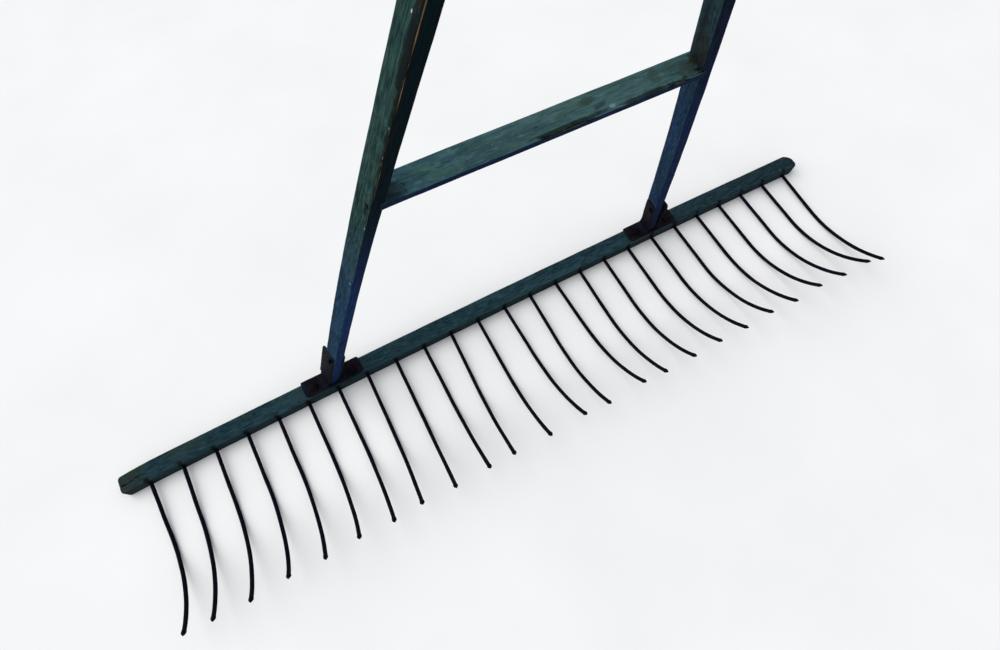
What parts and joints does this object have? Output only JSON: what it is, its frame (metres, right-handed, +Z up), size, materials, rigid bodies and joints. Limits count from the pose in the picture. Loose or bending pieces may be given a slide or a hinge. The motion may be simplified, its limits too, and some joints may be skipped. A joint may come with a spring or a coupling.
{
  "type": "leaf rake",
  "caption": "Wide hand rake with a wooden head bar, long curved iron tines and an A-frame wooden handle held in two iron sockets.",
  "frame": {"origin": "centre of the bounding box's bottom face, on the ground under the standing rake", "axes": "+X along the head bar, -Y the way the tines point, +Z up the handle; the rake stands on its bar's back edge and the bellies of its tines"},
  "size_m": [1.524, 0.335, 1.0498],
  "materials": {
    "painted_wood": "worn dark green-blue paint over end-grain olive wood",
    "rail_wood": "worn blue-green paint with rubbed arrises",
    "bracket_iron": "dark rusted wrought iron with traces of paint",
    "tine_iron": "blackened wrought iron rod"
  },
  "bodies": {
    "root": {"head_bar": "painted_wood", "tine_01": "tine_iron", "tine_02": "tine_iron", "tine_03": "tine_iron", "tine_04": "tine_iron", "tine_05": "tine_iron", "tine_06": "tine_iron", "tine_07": "tine_iron", "tine_08": "tine_iron", "tine_09": "tine_iron", "tine_10": "tine_iron", "tine_11": "tine_iron", "tine_12": "tine_iron", "tine_13": "tine_iron", "tine_14": "tine_iron", "tine_15": "tine_iron", "tine_16": "tine_iron", "tine_17": "tine_iron", "tine_18": "tine_iron", "tine_19": "tine_iron", "tine_20": "tine_iron", "tine_21": "tine_iron", "tine_22": "tine_iron", "tine_23": "tine_iron", "tine_24": "tine_iron", "tine_25": "tine_iron", "left_rail": "rail_wood", "right_rail": "rail_wood", "handle_brace": "rail_wood", "hand_grip": "rail_wood", "left_bracket": "bracket_iron", "left_socket_rivet": "bracket_iron", "left_brace_nail_upper": "bracket_iron", "left_brace_nail_lower": "bracket_iron", "left_grip_pin": "bracket_iron", "right_bracket": "bracket_iron", "right_socket_rivet": "bracket_iron", "right_brace_nail_upper": "bracket_iron", "right_brace_nail_lower": "bracket_iron", "right_grip_pin": "bracket_iron", "bolt_1": "bracket_iron", "nut_1": "bracket_iron", "bolt_2": "bracket_iron", "nut_2": "bracket_iron", "bolt_3": "bracket_iron", "nut_3": "bracket_iron", "bolt_4": "bracket_iron", "nut_4": "bracket_iron"}
  },
  "joints": []
}
